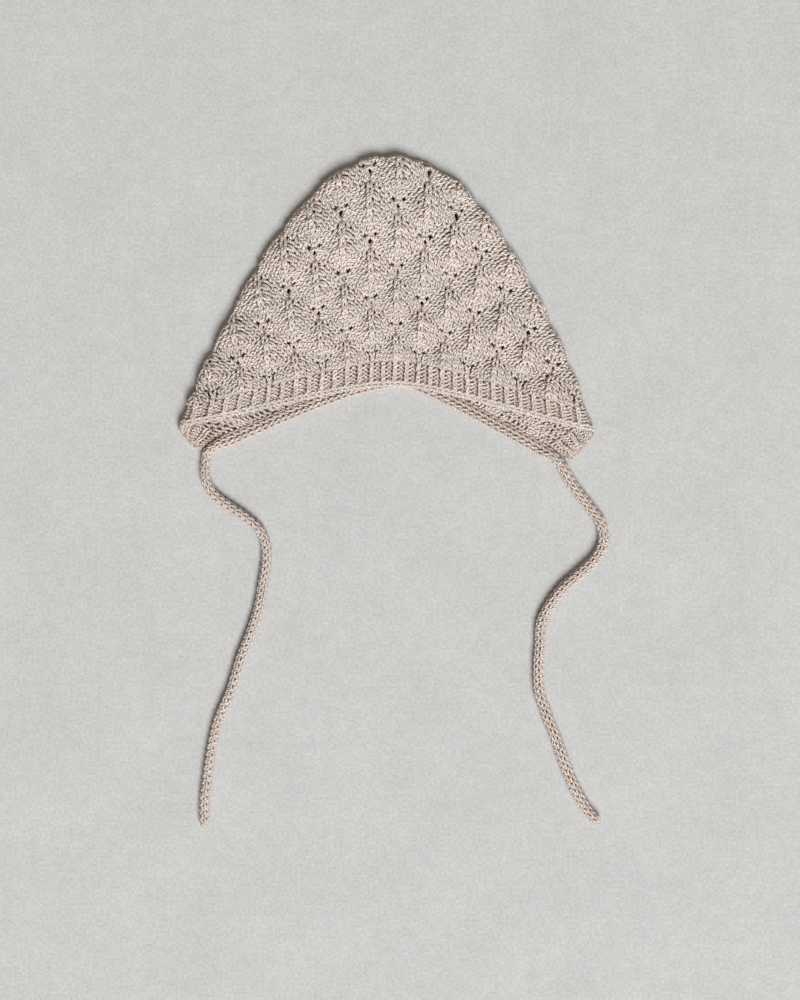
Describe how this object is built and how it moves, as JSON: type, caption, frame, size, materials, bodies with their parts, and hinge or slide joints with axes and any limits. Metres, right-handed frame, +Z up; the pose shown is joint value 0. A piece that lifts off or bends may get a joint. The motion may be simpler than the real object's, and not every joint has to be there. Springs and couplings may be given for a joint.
{
  "type": "knitted baby bonnet",
  "caption": "Hand-knitted cream lace baby bonnet with a ribbed face band, bound-off face edge, knitted cord neck edging and two knitted cord ties, lying flat.",
  "frame": {"origin": "middle of the flat bonnet's box, ties left out, on the surface that it lies on", "axes": "+X along the face edge from the left tie to the right tie, +Y towards the folded tip, +Z up off the surface"},
  "size_m": [0.2571, 0.4017, 0.0159],
  "materials": {
    "lace_wool": "undyed cream two-ply wool, knitted in lace",
    "rib_wool": "undyed cream two-ply wool, ribbed",
    "cord_wool": "undyed cream two-ply wool, knitted as cord and bound-off edge"
  },
  "bodies": {
    "root": {"crown": "lace_wool", "face_band": "rib_wool", "face_edging": "cord_wool", "neck_edging": "cord_wool", "tie_left": "cord_wool", "tie_right": "cord_wool"}
  },
  "joints": []
}
